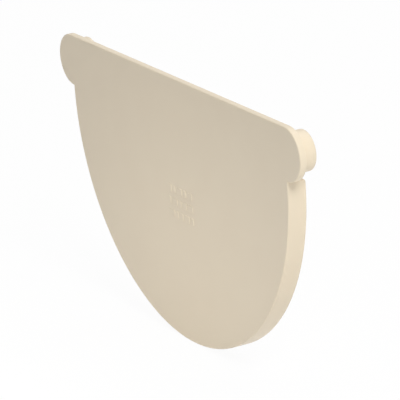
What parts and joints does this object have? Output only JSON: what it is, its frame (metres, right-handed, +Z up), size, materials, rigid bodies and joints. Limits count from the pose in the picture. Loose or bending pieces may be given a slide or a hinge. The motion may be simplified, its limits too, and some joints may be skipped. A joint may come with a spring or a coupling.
{
  "type": "gutter end cap",
  "caption": "Stop end for a half-round rainwater gutter: a flat plate with a round ear at each top corner, a rim round its curved edge and a short hollow plug behind each ear.",
  "frame": {"origin": "on the axis of the gutter's half-round, in the plane of the plate's inner face, where the gutter's cut end lands", "axes": "+X across the gutter, +Y along the gutter and away from the plate, +Z up, as it hangs on a house"},
  "size_m": [0.145, 0.0068, 0.0821],
  "materials": {
    "pvc": "satin"
  },
  "bodies": {
    "root": {"end_cap": "pvc"}
  },
  "joints": []
}
